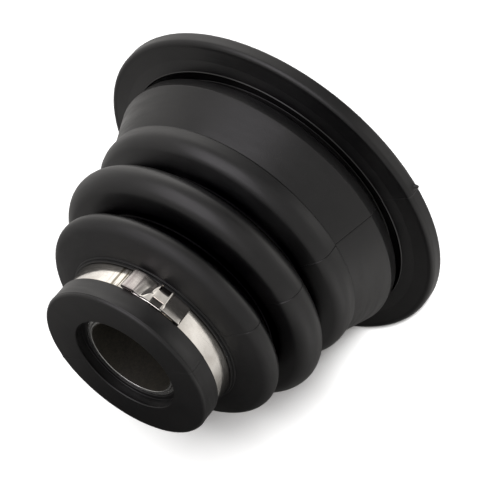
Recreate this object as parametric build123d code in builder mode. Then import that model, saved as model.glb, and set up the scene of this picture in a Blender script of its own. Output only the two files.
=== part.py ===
from build123d import *
import os
from dataclasses import dataclass, replace
from math import cos, hypot, radians, sin, sqrt

# Rubber bellows boot. The large end snaps into a round hole in a panel, three convolutions
# take up the movement, and the small end is clamped over a lined bush that a shaft runs in.
# The boot stands on its large end: +Z is its axis, and z = 0 is the large end's flat face.
# Lengths are in millimetres and angles in degrees. Azimuths are measured from +X about +Z,
# and the mould's parting plane is XZ.

# ---- Large end: the groove that holds the panel's edge, the raised lip beside it, and the rim ----
panel_groove_radius = 46.0
panel_groove_width = 3.35
panel_groove_depth = 3.6
panel_groove_round = 0.6
panel_groove_wall = 3.0
mouth_round = 1.0
lip_width = 4.4
lip_rise = 1.6  # from the rim's face to the top of the lip
lip_edge_drop = 0.5
lip_flank_run = 0.8
lip_flank_round = 0.7
rim_width = 5.2
rim_thickness = 4.7
rim_base_round = 0.8
rim_face_round = 1.4

# ---- Bellows wall ----
wall = 2.5
least_round = 0.6  # smallest inside round that the mould's core can have
shoulder_overhang = 4.3  # from the groove's floor out to the shoulder
shoulder_round = 2.9
shoulder_inner_round = 1.0
cone_length = 13.85  # from the shoulder's widest point to the crease
crease_depth = 0.5
crease_root_round = 0.2
crease_edge_rise = 0.7
crease_edge_drop = 0.15  # how much smaller the crease's edge is than the crest above it
crease_edge_round = 0.5
lower_crest_rise = 2.85  # above the crease's edge
lower_crest_radius = 45.8
lower_crest_round = 5.4
middle_crest_rise = 16.65
middle_crest_radius = 45.5
middle_crest_round = 5.7
upper_crest_rise = 14.75
upper_crest_radius = 40.1
upper_crest_round = 3.9
lower_root_depth = 7.2  # below the smaller of the two crests beside it
upper_root_depth = 5.6
root_round = 1.6
foot_rise = 5.8  # from the last crest up to the foot of its flank

# ---- Small end: bead, clamp seat, collar and the rubber hub round the bush ----
clamp_seat_radius = 27.6
clamp_seat_play = 0.2
bead_step = 1.2  # from the clamp's seat out to the bead
bead_rise = 0.6
bead_height = 0.7
bead_round = 0.25
foot_step = 1.2  # from the bead out to the foot of the last convolution
collar_step = 1.35  # from the clamp's seat out to the collar
collar_height = 7.2
collar_round = 0.9
collar_back_round = 0.4
recess_step = 1.5  # from the sleeve out to the recess in the collar's end
recess_depth = 3.3
recess_edge_round = 0.4
hub_step = 1.6  # from the clamp's seat in to the hub inside the boot
hub_round = 1.5

# ---- Lined bush and its steel sleeve ----
shaft_radius = 14.0
bush_wall = 1.0
bush_length = 20.0
bush_edge = 0.15
sleeve_wall = 1.3
sleeve_setback = 0.4  # the sleeve's end lies below the bush's end
sleeve_edge = 0.3

# ---- Band clamp: one strip, with its closure bent from the same strip ----
strip_thickness = 0.6
band_width = 7.0
joggle_azimuth = 26.0  # where the strip has stepped up on to its own end
joggle_sweep = 1.8
joggle_round = 0.4
plate_sweep = 11.6
bridge_sweep = 14.0
bridge_ramp_sweep = 2.2
bridge_rise = 1.25  # from the tongue that runs under the bridge up to the bridge
bridge_round = 0.7
notch_sweep = 7.0  # the bridge is notched on both sides, and leaves a strap
strap_width = 2.7
strap_shift = 0.3  # towards the collar
hem_gap_sweep = 3.0
hem_sweep = 10.4  # the strip's end is folded back on itself
hem_gap = 0.5
hem_lift = 0.25
hem_flat = 0.05  # straight part between the two rounds of the fold


@dataclass(frozen=True)
class Bend:
    """One arc of the bellows wall: a crest bulges outwards, a root inwards."""

    radius: float
    height: float
    round: float
    crest: bool = True

    @property
    def side(self) -> int:
        return 1 if self.crest else -1

    @property
    def centre(self) -> tuple[float, float]:
        return self.radius - self.side * self.round, self.height

    def inside(self) -> "Bend":
        """The same bend on the inner face of the wall."""
        inner_round = max(self.round - self.side * wall, least_round)
        return replace(self, radius=self.radius - wall, round=inner_round)


def straight_run(lower: Bend, upper: Bend) -> tuple[tuple, tuple]:
    """Ends of the straight run that touches two neighbouring bends."""
    (lower_x, lower_z), (upper_x, upper_z) = lower.centre, upper.centre
    length = hypot(upper_x - lower_x, upper_z - lower_z)
    along_x = (upper_x - lower_x) / length
    along_z = (upper_z - lower_z) / length
    lower_reach = lower.side * lower.round
    upper_reach = upper.side * upper.round
    slant = (lower_reach - upper_reach) / length
    upright = sqrt(1 - slant**2)
    normal_x = slant * along_x + upright * along_z
    normal_z = slant * along_z - upright * along_x
    start = (lower_x + lower_reach * normal_x, lower_z + lower_reach * normal_z)
    end = (upper_x + upper_reach * normal_x, upper_z + upper_reach * normal_z)
    return start, end


def draw_wall(bends: list[Bend]) -> tuple[float, float]:
    """Draw one face of the wall up from the underside of its first bend.

    The last bend is only run up to. Returns the point where the wall ends.
    """
    first_x, first_z = bends[0].centre
    point = (first_x, first_z - bends[0].round)
    heading = (1, 0)
    for lower, upper in zip(bends, bends[1:]):
        start, end = straight_run(lower, upper)
        TangentArc(point, start, tangent=heading)
        run = Line(start, end)
        heading = run % 1
        point = end
    return point


def polar(radius: float, azimuth: float) -> tuple[float, float]:
    """Plan position of a point given by its radius and azimuth."""
    return radius * cos(radians(azimuth)), radius * sin(radians(azimuth))


# ---- Heights up the boot, each from the one below it ----
lip_top = rim_thickness + lip_rise
groove_bottom = lip_top - lip_edge_drop
groove_top = groove_bottom + panel_groove_width
shoulder_height = groove_top + shoulder_round
crease_height = shoulder_height + cone_length
crease_edge_height = crease_height + crease_edge_rise
lower_crest_height = crease_edge_height + lower_crest_rise
middle_crest_height = lower_crest_height + middle_crest_rise
upper_crest_height = middle_crest_height + upper_crest_rise
foot_height = upper_crest_height + foot_rise
bead_bottom = foot_height + bead_rise
seat_bottom = bead_bottom + bead_height
seat_top = seat_bottom + band_width + clamp_seat_play
collar_top = seat_top + collar_height
recess_floor = collar_top - recess_depth
bush_bottom = recess_floor - bush_length
sleeve_top = recess_floor - sleeve_setback

# ---- Radii of the large end, from the groove's floor ----
mouth_radius = panel_groove_radius - panel_groove_wall
shoulder_radius = panel_groove_radius + shoulder_overhang
lip_inner_radius = panel_groove_radius + panel_groove_depth
lip_outer_radius = lip_inner_radius + lip_width
lip_foot_radius = lip_outer_radius + lip_flank_run
rim_radius = lip_foot_radius + rim_width

# ---- Radii of the small end, from the shaft and from the clamp's seat ----
bush_radius = shaft_radius + bush_wall
sleeve_radius = bush_radius + sleeve_wall
recess_radius = sleeve_radius + recess_step
hub_radius = clamp_seat_radius - hub_step
band_radius = clamp_seat_radius + strip_thickness
collar_radius = clamp_seat_radius + collar_step
bead_radius = clamp_seat_radius + bead_step
foot_radius = bead_radius + foot_step

# ---- Bends of the wall, from the large end up ----
shoulder = Bend(shoulder_radius, shoulder_height, shoulder_round)
shoulder_inside = Bend(
    shoulder_radius - wall, groove_top + wall + shoulder_inner_round, shoulder_inner_round
)
crease_edge_radius = lower_crest_radius - crease_edge_drop
crease_root = Bend(crease_edge_radius - crease_depth, crease_height, crease_root_round, crest=False)
crease_edge = Bend(crease_edge_radius, crease_edge_height, crease_edge_round)
lower_crest = Bend(lower_crest_radius, lower_crest_height, lower_crest_round)
lower_root = Bend(
    min(lower_crest_radius, middle_crest_radius) - lower_root_depth,
    (lower_crest_height + middle_crest_height) / 2,
    root_round,
    crest=False,
)
middle_crest = Bend(middle_crest_radius, middle_crest_height, middle_crest_round)
upper_root = Bend(
    min(middle_crest_radius, upper_crest_radius) - upper_root_depth,
    (middle_crest_height + upper_crest_height) / 2,
    root_round,
    crest=False,
)
upper_crest = Bend(upper_crest_radius, upper_crest_height, upper_crest_round)
foot = Bend(foot_radius, foot_height, 0, crest=False)
# The foot's corner has no round of its own, so inside it bends about the corner itself.
foot_inside = Bend(foot_radius - wall, foot_height, wall, crest=False)
convolutions = [lower_crest, lower_root, middle_crest, upper_root, upper_crest]

# ---- Bellows boot: one moulding, turned from its half section ----
with BuildPart() as bellows_boot:
    with BuildSketch(Plane.XZ) as half_section:
        with BuildLine() as outline:
            wall_end = draw_wall([shoulder, crease_root, crease_edge, *convolutions, foot])
            inner_bends = [bend.inside() for bend in [crease_root, *convolutions]]
            hollow_end = draw_wall([shoulder_inside, *inner_bends, foot_inside])
            FilletPolyline(
                (shoulder_inside.centre[0], groove_top + wall),
                (mouth_radius, groove_top + wall),
                (mouth_radius, 0),
                (rim_radius, 0),
                (rim_radius, rim_thickness),
                (lip_foot_radius, rim_thickness),
                (lip_outer_radius, lip_top),
                (lip_inner_radius, lip_top),
                (lip_inner_radius - lip_edge_drop, groove_bottom),
                (panel_groove_radius, groove_bottom),
                (panel_groove_radius, groove_top),
                (shoulder.centre[0], groove_top),
                radius=[
                    mouth_round,
                    mouth_round,
                    rim_base_round,
                    rim_face_round,
                    lip_flank_round,
                    lip_flank_round,
                    0,
                    0,
                    panel_groove_round,
                    panel_groove_round,
                ],
            )
            FilletPolyline(
                wall_end,
                (bead_radius, bead_bottom),
                (bead_radius, seat_bottom),
                (clamp_seat_radius, seat_bottom),
                (clamp_seat_radius, seat_top),
                (collar_radius, seat_top),
                (collar_radius, collar_top),
                (recess_radius, collar_top),
                (recess_radius, recess_floor),
                (sleeve_radius, recess_floor),
                (sleeve_radius, bush_bottom),
                (hub_radius, bush_bottom),
                (hub_radius, hollow_end[1]),
                hollow_end,
                radius=[
                    bead_round,
                    bead_round,
                    0,
                    0,
                    collar_back_round,
                    collar_round,
                    recess_edge_round,
                    0,
                    0,
                    0,
                    hub_round,
                    hub_round,
                ],
            )
        make_face()
    revolve(axis=Axis.Z)

# ---- Steel sleeve, bonded into the hub ----
with BuildPart() as steel_sleeve:
    with BuildSketch(Plane.XZ) as sleeve_section:
        with BuildLine():
            Polyline(
                (bush_radius, bush_bottom),
                (sleeve_radius, bush_bottom),
                (sleeve_radius, sleeve_top - sleeve_edge),
                (sleeve_radius - sleeve_edge, sleeve_top),
                (bush_radius + sleeve_edge, sleeve_top),
                (bush_radius, sleeve_top - sleeve_edge),
                close=True,
            )
        make_face()
    revolve(axis=Axis.Z)

# ---- Lined bush, pressed into the sleeve ----
with BuildPart() as lined_bush:
    with BuildSketch(Plane.XZ) as bush_section:
        with BuildLine():
            Polyline(
                (shaft_radius, bush_bottom),
                (bush_radius, bush_bottom),
                (bush_radius, recess_floor - bush_edge),
                (bush_radius - bush_edge, recess_floor),
                (shaft_radius + bush_edge, recess_floor),
                (shaft_radius, recess_floor - bush_edge),
                close=True,
            )
        make_face()
    revolve(axis=Axis.Z)

# ---- Band clamp: the closure's course round the band, by azimuth ----
bridge_start = joggle_azimuth + plate_sweep
bridge_end = bridge_start + bridge_sweep
hem_free_end = bridge_end + hem_gap_sweep
hem_fold = hem_free_end + hem_sweep
strap_azimuth = (bridge_start + bridge_end) / 2

# ---- Radii of the strip's middle line along that course ----
band_line = clamp_seat_radius + strip_thickness / 2
lap_line = band_line + strip_thickness
bridge_line = lap_line + bridge_rise
hem_line = lap_line + hem_lift
hem_top_line = hem_line + strip_thickness + hem_gap
fold_round = (hem_top_line - hem_line - hem_flat) / 2

band_top = seat_top
band_bottom = band_top - band_width
strap_height = (band_bottom + band_top) / 2 + strap_shift

with BuildPart() as band_clamp:
    with BuildSketch(Plane.XY.offset(band_bottom)) as band_plan:
        Circle(band_radius)
        Circle(clamp_seat_radius, mode=Mode.SUBTRACT)
    extrude(amount=band_width)
    with BuildSketch(Plane.XY.offset(band_bottom)) as closure_plan:
        with BuildLine() as strip_line:
            FilletPolyline(
                polar(band_line, joggle_azimuth - joggle_sweep),
                polar(lap_line, joggle_azimuth),
                polar(lap_line, bridge_start),
                polar(bridge_line, bridge_start + bridge_ramp_sweep),
                polar(bridge_line, bridge_end - bridge_ramp_sweep),
                polar(lap_line, bridge_end),
                polar(hem_line, hem_fold),
                polar(hem_top_line, hem_fold),
                polar(hem_top_line, hem_free_end),
                radius=[joggle_round] + [bridge_round] * 4 + [fold_round] * 2,
            )
        trace(line_width=strip_thickness)
        with BuildLine() as tongue_line:
            CenterArc((0, 0), lap_line, start_angle=bridge_start, arc_size=bridge_sweep)
        trace(line_width=strip_thickness)
    extrude(amount=band_width)
    # Notches on both sides of the bridge, down to the tongue below it
    strap_x, strap_y = polar(lap_line + strip_thickness, strap_azimuth)
    strap_plane = Plane(
        origin=(strap_x, strap_y, strap_height), x_dir=(0, 0, 1), z_dir=(strap_x, strap_y, 0)
    )
    notch_length = 2 * lap_line * sin(radians(notch_sweep / 2))
    with BuildSketch(strap_plane) as notches:
        with Locations((strap_width / 2 + band_width / 2, 0), (-strap_width / 2 - band_width / 2, 0)):
            Rectangle(band_width, notch_length)
    extrude(amount=bridge_rise + strip_thickness, mode=Mode.SUBTRACT)

bellows_boot.part.label = "bellows_boot"
steel_sleeve.part.label = "steel_sleeve"
lined_bush.part.label = "lined_bush"
band_clamp.part.label = "band_clamp"

os.makedirs("parts", exist_ok=True)
for piece in (bellows_boot, steel_sleeve, lined_bush, band_clamp):
    export_step(piece.part, f"parts/{piece.part.label}.step")
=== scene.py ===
import logging
import math
from collections.abc import Iterable, Sequence
from dataclasses import dataclass, replace
from enum import Enum

import bmesh
import bpy
from mathutils import Matrix, Vector


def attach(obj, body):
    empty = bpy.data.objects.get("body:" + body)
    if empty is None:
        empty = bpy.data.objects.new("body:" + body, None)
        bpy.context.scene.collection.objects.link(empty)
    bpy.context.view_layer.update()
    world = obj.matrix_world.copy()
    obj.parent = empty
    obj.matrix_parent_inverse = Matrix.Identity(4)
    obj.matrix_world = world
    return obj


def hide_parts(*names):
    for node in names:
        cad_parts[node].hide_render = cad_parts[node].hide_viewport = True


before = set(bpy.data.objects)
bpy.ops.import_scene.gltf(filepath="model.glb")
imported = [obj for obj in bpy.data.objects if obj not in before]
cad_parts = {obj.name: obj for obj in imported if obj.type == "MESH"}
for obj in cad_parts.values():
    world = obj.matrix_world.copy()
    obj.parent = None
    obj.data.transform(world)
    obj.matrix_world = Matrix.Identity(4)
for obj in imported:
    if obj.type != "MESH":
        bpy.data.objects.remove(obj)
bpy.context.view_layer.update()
BODY = "root"

# Meshes are drawn in millimetres and made metres when they are finished.
MM = 0.001
TOUCH = 1e-4  # points nearer to each other than this, in millimetres, are one point
HARD_EDGE = math.radians(32)  # an edge that turns more than this is shaded as an edge
ARC_STEP = 7.5  # largest angle between two points of an arc in a section, in degrees
FULL_TURN = 360.0
RIGHT_ANGLE = 90.0
ORIGIN = (0.0, 0.0, 0.0)
UPWARDS = (0.0, 0.0, 1.0)

Point = tuple[float, float]
Span = tuple[float, float]
Zone = tuple[float, float, float, float]  # where a mask starts to rise, is full, starts to fall and ends
Colour = tuple[float, float, float, float]
Mesh = bmesh.types.BMesh
Vert = bmesh.types.BMVert
Edge = bmesh.types.BMEdge
Material = bpy.types.Material
Piece = bpy.types.Object
Node = bpy.types.Node
Socket = bpy.types.NodeSocket

log = logging.getLogger("bellows_boot")


# ---- Drawing tools: a pen that draws chains of runs and arcs with bmesh operators ----


@dataclass(frozen=True)
class Corner:
    """A corner of an outline, in millimetres, and the round on it."""

    across: float
    up: float
    round: float = 0.0

    @property
    def point(self) -> Vector:
        """The corner before it is rounded."""
        return Vector((self.across, self.up))


@dataclass(frozen=True)
class Bend:
    """One arc of the bellows wall: a crest bulges outwards, a root inwards."""

    radius: float
    height: float
    round: float
    crest: bool = True

    @property
    def side(self) -> int:
        """1 for a crest, -1 for a root."""
        return 1 if self.crest else -1

    @property
    def centre(self) -> Point:
        """Centre of the arc in the half section."""
        return self.radius - self.side * self.round, self.height

    def inside(self, wall: float, least_round: float) -> "Bend":
        """The same bend on the inner face of a wall, with a round that the mould's core can have."""
        inner_round = max(self.round - self.side * wall, least_round)
        return replace(self, radius=self.radius - wall, round=inner_round)


def straight_run(lower: Bend, upper: Bend) -> tuple[Point, Point]:
    """Find the straight run that touches two neighbouring bends.

    Args:
        lower: the bend that the run leaves.
        upper: the bend that the run reaches.

    Returns:
        The two ends of the run, in millimetres.
    """
    (lower_x, lower_z), (upper_x, upper_z) = lower.centre, upper.centre
    length = math.hypot(upper_x - lower_x, upper_z - lower_z)
    along_x = (upper_x - lower_x) / length
    along_z = (upper_z - lower_z) / length
    lower_reach = lower.side * lower.round
    upper_reach = upper.side * upper.round
    slant = (lower_reach - upper_reach) / length
    upright = math.sqrt(1 - slant**2)
    normal_x = slant * along_x + upright * along_z
    normal_z = slant * along_z - upright * along_x
    start = (lower_x + lower_reach * normal_x, lower_z + lower_reach * normal_z)
    end = (upper_x + upper_reach * normal_x, upper_z + upper_reach * normal_z)
    return start, end


class Pen:
    """Draws a chain of straight runs and arcs in one plane of a bmesh, in millimetres."""

    def __init__(self, mesh: Mesh, up: Vector, arc_step: float) -> None:
        """Take the mesh to draw in.

        Args:
            mesh: the bmesh that gets the chain's points and edges.
            up: second axis of the drawing plane; the first one is X.
            arc_step: the largest angle between two points of an arc, in degrees.
        """
        self.mesh = mesh
        self.across = Vector((1, 0, 0))
        self.up = up
        self.arc_step = arc_step
        self.last: Vert | None = None

    def place(self, point: Iterable[float]) -> Vector:
        """Point of the mesh for a point of the drawing plane."""
        across, up = point
        return self.across * across + self.up * up

    def start(self, point: Iterable[float]) -> None:
        """Begin a new chain at a point."""
        self.last = self.mesh.verts.new(self.place(point))

    def run(self, point: Iterable[float]) -> None:
        """Draw a straight run from the last point.

        Args:
            point: the run's end in the drawing plane.
        """
        target = self.place(point)
        if (target - self.last.co).length >= TOUCH:
            made = bmesh.ops.extrude_vert_indiv(self.mesh, verts=[self.last])
            self.last = made["verts"][0]
            self.last.co = target

    def arc(self, centre: Iterable[float], sweep: float) -> None:
        """Draw an arc from the last point.

        Args:
            centre: the arc's centre in the drawing plane.
            sweep: the arc's angle in radians, positive from the first axis to the second.
        """
        if abs(sweep) >= TOUCH:
            steps = max(2, math.ceil(abs(math.degrees(sweep)) / self.arc_step))
            axis = self.across.cross(self.up)
            made = bmesh.ops.spin(
                self.mesh, geom=[self.last], cent=self.place(centre), axis=axis, angle=sweep, steps=steps
            )
            self.last = next(v for v in made["geom_last"] if isinstance(v, Vert))

    def outline(self, corners: Sequence[Corner]) -> None:
        """Draw a chain of straight runs with rounded corners.

        Args:
            corners: the chain's corners; the first and the last one have no round.
        """
        self.start(corners[0].point)
        for before, corner, after in zip(corners, corners[1:], corners[2:]):
            if corner.round < TOUCH:
                self.run(corner.point)
                continue
            back = (before.point - corner.point).normalized()
            ahead = (after.point - corner.point).normalized()
            half_angle = back.angle(ahead) / 2
            reach = corner.round / math.tan(half_angle)
            middle = (back + ahead).normalized()
            centre = corner.point + middle * (corner.round / math.sin(half_angle))
            turn = math.pi - 2 * half_angle
            left = ahead.x * back.y - ahead.y * back.x
            self.run(corner.point + back * reach)
            self.arc(centre, math.copysign(turn, left))
        self.run(corners[-1].point)

    def wall(self, bends: Sequence[Bend]) -> Point:
        """Draw one face of the bellows wall up from the underside of its first bend.

        Args:
            bends: the wall's bends; the last one is only run up to.

        Returns:
            The point where the wall ends.
        """
        first_x, first_z = bends[0].centre
        at = (first_x, first_z - bends[0].round)
        self.start(at)
        for lower, upper in zip(bends, bends[1:]):
            start, end = straight_run(lower, upper)
            centre_x, centre_z = lower.centre
            before = math.atan2(at[1] - centre_z, at[0] - centre_x)
            after = math.atan2(start[1] - centre_z, start[0] - centre_x)
            sweep = (after - before) * lower.side % math.tau * lower.side
            self.arc(lower.centre, sweep)
            self.run(end)
            at = end
        return at


def section_pen(mesh: Mesh, arc_step: float = ARC_STEP) -> Pen:
    """A pen for a half section: radius across, height up."""
    return Pen(mesh, Vector((0, 0, 1)), arc_step)


def plan_pen(mesh: Mesh, arc_step: float) -> Pen:
    """A pen for a plan: X across, Y up."""
    return Pen(mesh, Vector((0, 1, 0)), arc_step)


def turn_sections(mesh: Mesh, sectors: Sequence[tuple[float, int]]) -> None:
    """Turn a half section about Z into a closed surface.

    Args:
        mesh: the bmesh that holds the section.
        sectors: angle in degrees and number of steps of each sector; together a full turn.
    """
    rim = [*mesh.verts, *mesh.edges]
    for sweep, steps in sectors:
        full = sweep == FULL_TURN
        angle = math.radians(sweep)
        rim = bmesh.ops.spin(
            mesh, geom=rim, cent=ORIGIN, axis=UPWARDS, angle=angle, steps=steps, use_merge=full
        )["geom_last"]
    bmesh.ops.remove_doubles(mesh, verts=mesh.verts, dist=TOUCH)
    bmesh.ops.recalc_face_normals(mesh, faces=mesh.faces)


def radius_of(point: Vector) -> float:
    """Distance of a point from the axis."""
    return math.hypot(point.x, point.y)


def azimuth_of(point: Vector) -> float:
    """Azimuth of a point about Z, in degrees from +X."""
    return math.degrees(math.atan2(point.y, point.x))


def polar(radius: float, azimuth: float) -> Point:
    """Plan position of a point given by its radius and azimuth."""
    angle = math.radians(azimuth)
    return radius * math.cos(angle), radius * math.sin(angle)


def hill(distance: float, reach: float) -> float:
    """Smooth bump that is 1 at no distance and fades to nothing past a few reaches."""
    return math.exp(-((distance / reach) ** 2))


def share_of(value: float) -> float:
    """A value kept between 0 and 1."""
    return min(1.0, max(0.0, value))


def put_in_scene(name: str, mesh: Mesh, finish: Material) -> Piece:
    """Make a bmesh an object with one material.

    Args:
        name: the object's name.
        mesh: its mesh, which is used up.
        finish: its material.

    Returns:
        The object, at the origin.
    """
    data = bpy.data.meshes.new(name)
    mesh.to_mesh(data)
    mesh.free()
    data.materials.append(finish)
    made = bpy.data.objects.new(name, data)
    bpy.context.scene.collection.objects.link(made)
    return made


def finish_piece(name: str, mesh: Mesh, finish: Material, node: str) -> Piece:
    """Make a drawn mesh a piece of the object, in metres and dressed.

    Args:
        name: the piece's name.
        mesh: its mesh in millimetres, which is used up.
        finish: its material.
        node: the CAD node that it stands for.

    Returns:
        The piece's object, at the origin and riding on the body.
    """
    bmesh.ops.scale(mesh, vec=(MM, MM, MM), verts=mesh.verts)
    for face in mesh.faces:
        face.smooth = True
    for edge in mesh.edges:
        edge.smooth = not edge.is_manifold or edge.calc_face_angle(0) < HARD_EDGE
    piece = put_in_scene(name, mesh, finish)
    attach(piece, BODY)
    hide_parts(node)
    triangles = sum(len(face.vertices) - 2 for face in piece.data.polygons)
    log.info("%s: %d triangles", name, triangles)
    return piece


# ---- Shader tools and the effects that several finishes share ----


class Desk:
    """Places and links the nodes of one material or node group."""

    def __init__(self, tree: bpy.types.NodeTree) -> None:
        """Take the node tree to work on."""
        self.tree = tree

    def node(self, kind: str, values: dict[str | int, object] | None = None, **options: object) -> Node:
        """Place a node.

        Args:
            kind: Blender's name for the node's type.
            values: inputs by name or number, each a fixed value or a socket to link.
            options: settings of the node itself.

        Returns:
            The node.
        """
        made = self.tree.nodes.new(kind)
        for key, value in options.items():
            setattr(made, key, value)
        for key, value in (values or {}).items():
            self.feed(made.inputs[key], value)
        return made

    def feed(self, socket: Socket, value: object) -> None:
        """Give an input a fixed value or a link.

        Args:
            socket: the input.
            value: the fixed value, or the socket to link.
        """
        if isinstance(value, Socket):
            self.tree.links.new(value, socket)
        else:
            socket.default_value = value

    def sum(self, operation: str, *terms: object) -> Socket:
        """Result of one math operation on up to three values or sockets."""
        return self.node("ShaderNodeMath", dict(enumerate(terms)), operation=operation).outputs[0]

    def between(self, value: Socket, span: Span, to_low: object = 0.0, to_high: object = 1.0) -> Socket:
        """A value mapped smoothly from a span to another one, and kept in it."""
        low, high = span
        values = {"Value": value, "From Min": low, "From Max": high, "To Min": to_low, "To Max": to_high}
        return self.node("ShaderNodeMapRange", values, interpolation_type="SMOOTHSTEP").outputs["Result"]

    def mask(self, value: Socket, zone: Zone) -> Socket:
        """Mask that is full inside a zone and fades out at both its ends."""
        rising = self.between(value, zone[:2])
        return self.sum("MULTIPLY", rising, self.between(value, zone[2:], 1.0, 0.0))

    def tint(self, share: object, first: object, second: object) -> Socket:
        """Two colours mixed, with the second one's share from 0 to 1."""
        values = {"Factor": share, "A": first, "B": second}
        return self.node("ShaderNodeMix", values, data_type="RGBA").outputs["Result"]

    def noise(self, where: Socket, scale: object, kind: Span) -> Socket:
        """Noise from about 0 to 1, with its repeats in a unit, and its detail and roughness as its kind."""
        values = {"Vector": where, "Scale": scale, "Detail": kind[0], "Roughness": kind[1]}
        return self.node("ShaderNodeTexNoise", values).outputs["Fac"]

    def parts(self, vector: Socket) -> Sequence[Socket]:
        """The three parts of a vector."""
        return self.node("ShaderNodeSeparateXYZ", {"Vector": vector}).outputs

    def length(self, across: Socket, along: Socket) -> Socket:
        """Length of a flat vector."""
        return self.sum("SQRT", self.sum("MULTIPLY_ADD", across, across, self.sum("MULTIPLY", along, along)))

    def radius_and_height(self, where: Socket) -> tuple[Socket, Socket]:
        """Radius about Z and height of a point, in millimetres."""
        x, y, z = self.parts(where)
        return self.sum("DIVIDE", self.length(x, y), MM), self.sum("DIVIDE", z, MM)

    def azimuth(self, where: Socket) -> Socket:
        """Azimuth of a point about Z, in degrees from +X."""
        x, y, _ = self.parts(where)
        return self.sum("DEGREES", self.sum("ARCTAN2", y, x))


class Effect(Enum):
    """Shader effects that several finishes share, each a node group."""

    GRAIN = "fine grain"
    PATCHES = "soft patches"
    TURNING = "turning lines"


def new_effect(effect: Effect, inputs: Sequence[str], outputs: Sequence[str]) -> tuple[Desk, Node, Node]:
    """Make an empty node group with named sockets.

    Args:
        effect: the effect that it makes.
        inputs: names of the values that it takes; a Vector input is always there.
        outputs: names of the values that it puts out.

    Returns:
        The desk to build it on, its input node and its output node.
    """
    group = bpy.data.node_groups.new(effect.value, "ShaderNodeTree")
    group.interface.new_socket("Vector", in_out="INPUT", socket_type="NodeSocketVector")
    for in_out, names in (("INPUT", inputs), ("OUTPUT", outputs)):
        for name in names:
            group.interface.new_socket(name, in_out=in_out, socket_type="NodeSocketFloat")
    desk = Desk(group)
    return desk, desk.node("NodeGroupInput"), desk.node("NodeGroupOutput")


@dataclass(frozen=True)
class Effects:
    """Builds the shared node groups and places them in materials."""

    # Detail and roughness of each noise
    fine_noise: Span = (3.0, 0.6)
    coarse_noise: Span = (2.0, 0.5)
    patch_noise: Span = (4.0, 0.55)
    streak_noise: Span = (3.0, 0.6)
    line_noise: Span = (2.0, 0.7)
    scratch_noise: Span = (4.0, 0.75)

    coarse_scale: float = 0.31
    coarse_share: float = 0.5
    grain_level: float = 0.67
    pit_span: Span = (0.42, 0.3)
    streak_squash: tuple[float, float, float] = (1.0, 1.0, 9.0)
    line_scale: float = 1.0
    scratch_scale: float = 0.23
    scratch_span: Span = (0.6, 0.72)

    def build(self) -> None:
        """Make every shared group once."""
        for build in (self.build_grain, self.build_patches, self.build_turning):
            build()

    def build_grain(self) -> None:
        """Fine pebbled grain of moulded or sintered stuff: its height and its pits."""
        desk, given, out = new_effect(Effect.GRAIN, ["Scale"], ["Height", "Pits"])
        where, scale = given.outputs["Vector"], given.outputs["Scale"]
        fine = desk.noise(where, scale, self.fine_noise)
        coarse = desk.noise(where, desk.sum("MULTIPLY", scale, self.coarse_scale), self.coarse_noise)
        height = desk.sum("MULTIPLY_ADD", coarse, self.coarse_share, fine)
        desk.feed(out.inputs["Height"], desk.sum("MULTIPLY", height, self.grain_level))
        desk.feed(out.inputs["Pits"], desk.between(fine, self.pit_span))

    def build_patches(self) -> None:
        """Large soft patches, as of handling, dust and uneven flow in the mould."""
        desk, given, out = new_effect(Effect.PATCHES, ["Scale"], ["Mask", "Streaks"])
        where, scale = given.outputs["Vector"], given.outputs["Scale"]
        desk.feed(out.inputs["Mask"], desk.noise(where, scale, self.patch_noise))
        flat = desk.node("ShaderNodeMapping", {"Vector": where, "Scale": self.streak_squash})
        desk.feed(out.inputs["Streaks"], desk.noise(flat.outputs["Vector"], scale, self.streak_noise))

    def build_turning(self) -> None:
        """Fine lines round the axis, as of turning, rolling or brushing."""
        desk, given, out = new_effect(Effect.TURNING, ["Pitch", "Length"], ["Lines", "Scratches"])
        x, y, z = desk.parts(given.outputs["Vector"])
        pitch = given.outputs["Pitch"]
        course = {
            "X": desk.sum("MULTIPLY", desk.sum("ARCTAN2", y, x), given.outputs["Length"]),
            "Y": desk.sum("MULTIPLY", desk.length(x, y), pitch),
            "Z": desk.sum("MULTIPLY", z, pitch),
        }
        where = desk.node("ShaderNodeCombineXYZ", course).outputs["Vector"]
        desk.feed(out.inputs["Lines"], desk.noise(where, self.line_scale, self.line_noise))
        scratches = desk.noise(where, self.scratch_scale, self.scratch_noise)
        desk.feed(out.inputs["Scratches"], desk.between(scratches, self.scratch_span))

    @staticmethod
    def place(desk: Desk, effect: Effect, where: Socket, **values: float) -> Node:
        """Place a shared group in a material that reads a point, with the material's own values."""
        group = bpy.data.node_groups[effect.value]
        return desk.node("ShaderNodeGroup", {"Vector": where, **values}, node_tree=group)


def new_material(name: str) -> tuple[Material, Desk, Node, Socket]:
    """Make a material with one shader on Object coordinates.

    Args:
        name: the material's name.

    Returns:
        The material, its desk, its Principled shader and its Object coordinates.
    """
    material = bpy.data.materials.new(name)
    material.use_nodes = True
    desk = Desk(material.node_tree)
    shader = material.node_tree.nodes["Principled BSDF"]
    where = desk.node("ShaderNodeTexCoord").outputs["Object"]
    return material, desk, shader, where


def add_bump(desk: Desk, shader: Node, height: Socket, depth: float) -> None:
    """Roughen a shader's surface with a height from 0 to 1 that is some millimetres deep."""
    bump = desk.node("ShaderNodeBump", {"Height": height, "Distance": depth * MM, "Strength": 1.0})
    desk.feed(shader.inputs["Normal"], bump.outputs["Normal"])


def set_plain(shader: Node, **values: object) -> None:
    """Set inputs of a shader that are the same all over, named with _ for each space."""
    for name, value in values.items():
        shader.inputs[name.replace("_", " ")].default_value = value


# ---- Finishes ----


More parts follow.
